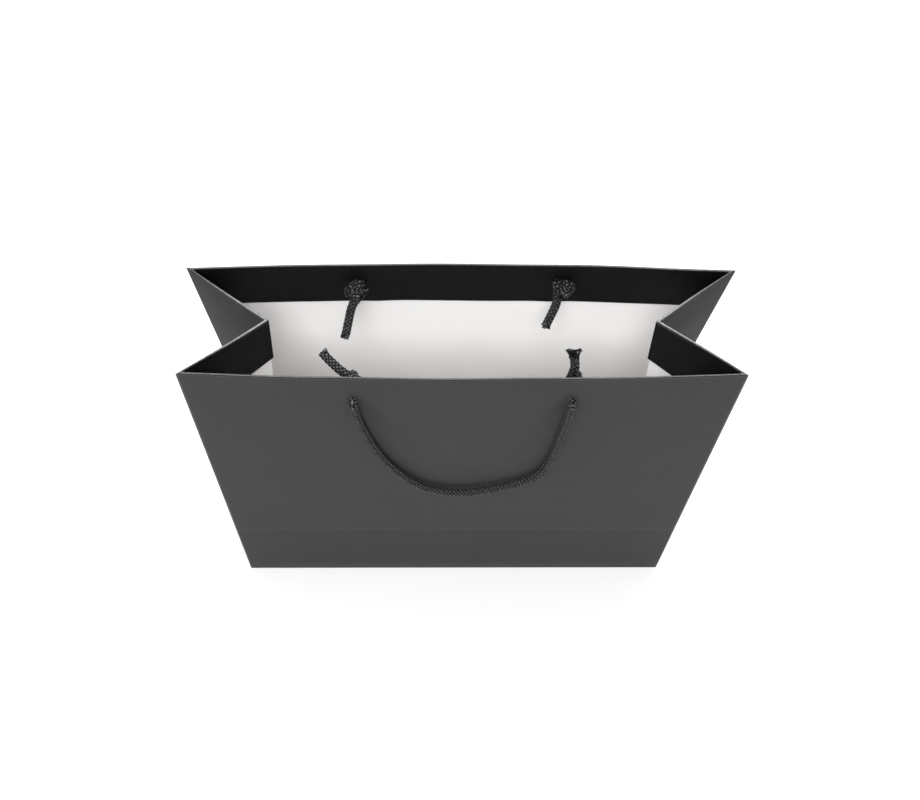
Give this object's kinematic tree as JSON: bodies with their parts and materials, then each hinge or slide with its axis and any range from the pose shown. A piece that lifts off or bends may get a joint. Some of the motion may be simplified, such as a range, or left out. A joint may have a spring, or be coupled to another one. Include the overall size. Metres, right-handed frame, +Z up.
{
  "type": "paper gift bag",
  "caption": "Wide black paper gift bag for wine, with folded side gussets, a turned-in top hem, a base board and two knotted rope handles that swing.",
  "frame": {"origin": "centre of the squared base, on the surface that the bag stands on", "axes": "+X along the width, to the right as seen from the front; +Z up; the front panel faces -Y"},
  "size_m": [0.33, 0.12, 0.314],
  "materials": {
    "paper": "matt laminated black paper, white uncoated inside",
    "board": "uncoated white lined board",
    "rope": "braided black polypropylene rope"
  },
  "bodies": {
    "base": {"front_lower_wall": "paper", "back_lower_wall": "paper", "left_lower_gusset": "paper", "right_lower_gusset": "paper", "bottom_front_flap": "paper", "bottom_back_flap": "paper", "left_end_flap": "paper", "right_end_flap": "paper", "base_board": "board", "glue_flap_lower": "paper"},
    "front_wall": {"front_panel": "paper", "front_card": "board", "front_hem": "paper", "front_left_knot": "rope", "front_right_knot": "rope"},
    "back_wall": {"back_panel": "paper", "back_card": "board", "back_hem": "paper", "back_left_knot": "rope", "back_right_knot": "rope", "glue_flap_upper": "paper"},
    "front_left_gusset": {"front_left_gusset": "paper", "front_left_gusset_hem": "paper"},
    "front_right_gusset": {"front_right_gusset": "paper", "front_right_gusset_hem": "paper"},
    "back_left_gusset": {"back_left_gusset": "paper", "back_left_gusset_hem": "paper"},
    "back_right_gusset": {"back_right_gusset": "paper", "back_right_gusset_hem": "paper"},
    "front_handle": {"front_handle_rope": "rope"},
    "back_handle": {"back_handle_rope": "rope"}
  },
  "joints": [
    {"name": "mouth_open", "type": "hinge", "parent": "base", "child": "front_wall", "pos_m": [0, -0.05365, 0.07975], "axis": [1, 0, 0], "range_deg": [-3, 4.5]},
    {"name": "back_wall_tilt", "type": "hinge", "parent": "base", "child": "back_wall", "pos_m": [0, 0.05365, 0.07975], "axis": [-1, 0, 0], "range_deg": [-3.2, 4.8]},
    {"name": "front_left_gusset_fold", "type": "hinge", "parent": "front_wall", "child": "front_left_gusset", "pos_m": [-0.165, -0.05365, 0.07975], "axis": [0, 0.0794, 0.9968], "range_deg": [-16.5, 24.5]},
    {"name": "back_left_gusset_fold", "type": "hinge", "parent": "back_wall", "child": "back_left_gusset", "pos_m": [-0.165, 0.05365, 0.07975], "axis": [0, 0.0794, -0.9968], "range_deg": [-16.5, 24.5]},
    {"name": "front_right_gusset_fold", "type": "hinge", "parent": "front_wall", "child": "front_right_gusset", "pos_m": [0.165, -0.05365, 0.07975], "axis": [0, -0.0794, -0.9968], "range_deg": [-16.5, 24.5]},
    {"name": "back_right_gusset_fold", "type": "hinge", "parent": "back_wall", "child": "back_right_gusset", "pos_m": [0.165, 0.05365, 0.07975], "axis": [0, -0.0794, 0.9968], "range_deg": [-16.5, 24.5]},
    {"name": "front_handle_swing", "type": "hinge", "parent": "front_wall", "child": "front_handle", "pos_m": [0, -0.04314, 0.28857], "axis": [-1, 0, 0], "range_deg": [0, 180]},
    {"name": "back_handle_swing", "type": "hinge", "parent": "back_wall", "child": "back_handle", "pos_m": [0, 0.04314, 0.28857], "axis": [1, 0, 0], "range_deg": [0, 180]}
  ],
  "couplings": [
    {"joint": "back_wall_tilt", "follows": "mouth_open", "ratio": 1},
    {"joint": "front_left_gusset_fold", "follows": "mouth_open", "ratio": 5.2},
    {"joint": "back_left_gusset_fold", "follows": "mouth_open", "ratio": 5.2},
    {"joint": "front_right_gusset_fold", "follows": "mouth_open", "ratio": 5.2},
    {"joint": "back_right_gusset_fold", "follows": "mouth_open", "ratio": 5.2}
  ]
}
